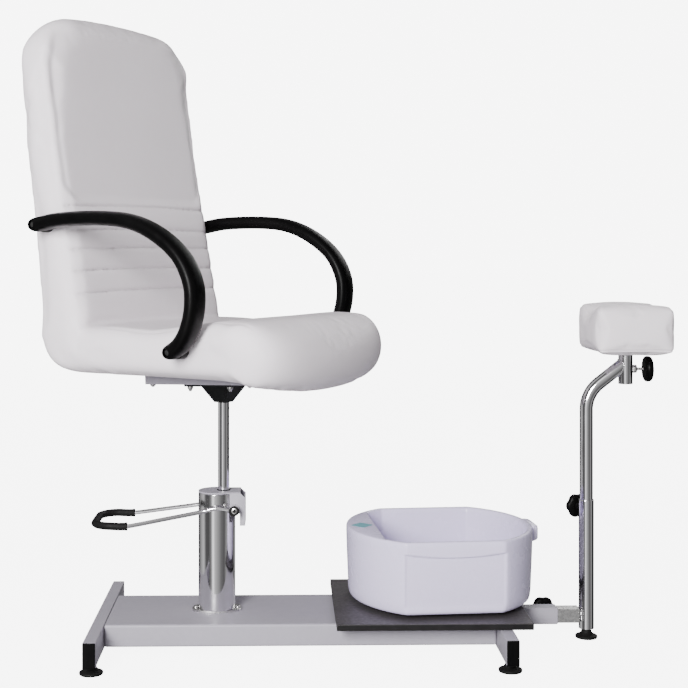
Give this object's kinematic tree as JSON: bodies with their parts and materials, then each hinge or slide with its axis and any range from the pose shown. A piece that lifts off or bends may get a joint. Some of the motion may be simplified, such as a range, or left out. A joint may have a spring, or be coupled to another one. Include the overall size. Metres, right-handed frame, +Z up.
{
  "type": "pedicure spa chair",
  "caption": "Pedicure station: upholstered swivel armchair on a foot-pumped hydraulic column, with a foot-bath shelf, lift-off foot bath and adjustable leg rest on one steel base.",
  "frame": {"origin": "middle of the whole footprint, on the floor", "axes": "+X along the base from the chair to the leg rest, +Y to the far side, +Z up"},
  "size_m": [1.3519, 0.739, 1.319],
  "materials": {
    "powder_coat": "satin light grey powder coat",
    "chrome": "bright chrome plate",
    "bright_steel": "zinc-plated steel",
    "black_steel": "black paint",
    "black_plastic": "satin black moulding",
    "black_rubber": "matt black",
    "charcoal_board": "charcoal laminate on board",
    "plywood": "raw plywood",
    "white_vinyl": "soft white vinyl over foam",
    "white_plastic": "glossy white with a cool tint",
    "teal_plastic": "glossy teal inlay"
  },
  "bodies": {
    "base": {"base_beam": "powder_coat", "crossbar_rear": "powder_coat", "crossbar_front": "powder_coat", "end_cap_rear_near": "black_plastic", "end_cap_rear_far": "black_plastic", "end_cap_front_near": "black_plastic", "end_cap_front_far": "black_plastic", "bath_shelf": "charcoal_board", "shelf_screw_1": "bright_steel", "shelf_screw_2": "bright_steel", "pump_flange": "bright_steel", "pump_housing": "chrome", "pump_cylinder": "bright_steel", "pump_cap": "powder_coat", "legrest_sleeve": "powder_coat"},
    "lever": {"pump_lever": "chrome", "lever_grip": "black_rubber", "lever_axle": "bright_steel"},
    "plunger": {"pump_plunger": "bright_steel"},
    "lift": {"piston_seal": "black_rubber"},
    "chair": {"piston_rod": "chrome", "cone_mount": "black_steel", "mount_bolt_1": "bright_steel", "mount_bolt_2": "bright_steel", "mount_bolt_3": "bright_steel", "mount_bolt_4": "bright_steel", "seat_frame": "powder_coat", "seat_screw_1": "bright_steel", "seat_screw_2": "bright_steel", "seat_screw_3": "bright_steel", "seat_screw_4": "bright_steel", "seat_board": "plywood", "back_board": "plywood", "back_bracket": "black_steel", "seat_cushion": "white_vinyl", "back_cushion": "white_vinyl", "arm_left": "black_plastic", "arm_right": "black_plastic", "arm_left_screw_rear": "black_steel", "arm_left_screw_front": "black_steel", "arm_right_screw_rear": "black_steel", "arm_right_screw_front": "black_steel"},
    "bath": {"bath_shell": "white_plastic", "rim_badge": "teal_plastic"},
    "sleeve_clamp": {"sleeve_knob": "black_plastic"},
    "extension": {"slide_tube": "bright_steel", "post_tube": "chrome"},
    "post_foot": {"post_foot": "black_rubber"},
    "post_clamp": {"post_knob": "black_plastic"},
    "height": {"tube_bush": "black_plastic"},
    "leg_tube": {"bent_tube": "chrome", "pad_socket": "chrome"},
    "pad": {"pad_stem": "bright_steel", "pad_board": "plywood", "leg_cushion": "white_vinyl"},
    "pad_clamp": {"pad_knob": "black_plastic"},
    "foot_rear_near": {"level_foot_rear_near": "black_rubber"},
    "foot_rear_far": {"level_foot_rear_far": "black_rubber"},
    "foot_front_near": {"level_foot_front_near": "black_rubber"},
    "foot_front_far": {"level_foot_front_far": "black_rubber"}
  },
  "joints": [
    {"name": "lever_pump", "type": "hinge", "parent": "base", "child": "lever", "pos_m": [-0.229, -0.035, 0.285], "axis": [0, 1, 0], "range_deg": [-20, 8], "stiffness_Nm_per_rad": 30, "springref_deg": 0.86},
    {"name": "plunger_stroke", "type": "slide", "parent": "base", "child": "plunger", "axis": [0, 0, 1], "range_m": [-0.0025, 0.001]},
    {"name": "seat_lift", "type": "slide", "parent": "base", "child": "lift", "axis": [0, 0, 1], "range_m": [-0.165, 0]},
    {"name": "seat_swivel", "type": "hinge", "parent": "lift", "child": "chair", "pos_m": [-0.253, -0.035, 0.5], "axis": [0, 0, 1], "continuous": true},
    {"name": "bath_lift", "type": "slide", "parent": "base", "child": "bath", "axis": [0, 0, 1], "range_m": [0, 0.25]},
    {"name": "sleeve_clamp_turn", "type": "hinge", "parent": "base", "child": "sleeve_clamp", "pos_m": [0.43, -0.015, 0.0496], "axis": [0, 1, 0], "range_deg": [0, 450]},
    {"name": "legrest_extend", "type": "slide", "parent": "base", "child": "extension", "axis": [1, 0, 0], "range_m": [-0.035, 0.045]},
    {"name": "post_foot_screw", "type": "hinge", "parent": "extension", "child": "post_foot", "pos_m": [0.5135, -0.015, 0.01], "axis": [0, 0, 1], "range_deg": [-360, 360]},
    {"name": "post_clamp_turn", "type": "hinge", "parent": "extension", "child": "post_clamp", "pos_m": [0.5135, -0.015, 0.272], "axis": [-0.2419, 0.9703, 0], "range_deg": [0, 450]},
    {"name": "legrest_height", "type": "slide", "parent": "extension", "child": "height", "axis": [0, 0, 1], "range_m": [-0.15, 0.03]},
    {"name": "legrest_swivel", "type": "hinge", "parent": "height", "child": "leg_tube", "pos_m": [0.5135, -0.015, 0.25], "axis": [0, 0, 1], "continuous": true},
    {"name": "pad_swivel", "type": "hinge", "parent": "leg_tube", "child": "pad", "pos_m": [0.597, -0.015, 0.57], "axis": [0, 0, 1], "continuous": true},
    {"name": "pad_clamp_turn", "type": "hinge", "parent": "leg_tube", "child": "pad_clamp", "pos_m": [0.597, -0.015, 0.5687], "axis": [1, 0, 0], "range_deg": [0, 450]},
    {"name": "foot_screw_rear_near", "type": "hinge", "parent": "base", "child": "foot_rear_near", "pos_m": [-0.5005, -0.2385, 0.01], "axis": [0, 0, 1], "range_deg": [-360, 360]},
    {"name": "foot_screw_rear_far", "type": "hinge", "parent": "base", "child": "foot_rear_far", "pos_m": [-0.5005, 0.1685, 0.01], "axis": [0, 0, 1], "range_deg": [-360, 360]},
    {"name": "foot_screw_front_near", "type": "hinge", "parent": "base", "child": "foot_front_near", "pos_m": [0.314, -0.2385, 0.01], "axis": [0, 0, 1], "range_deg": [-360, 360]},
    {"name": "foot_screw_front_far", "type": "hinge", "parent": "base", "child": "foot_front_far", "pos_m": [0.314, 0.1685, 0.01], "axis": [0, 0, 1], "range_deg": [-360, 360]}
  ],
  "couplings": [
    {"joint": "plunger_stroke", "follows": "lever_pump", "m_per_rad": 0.006}
  ]
}
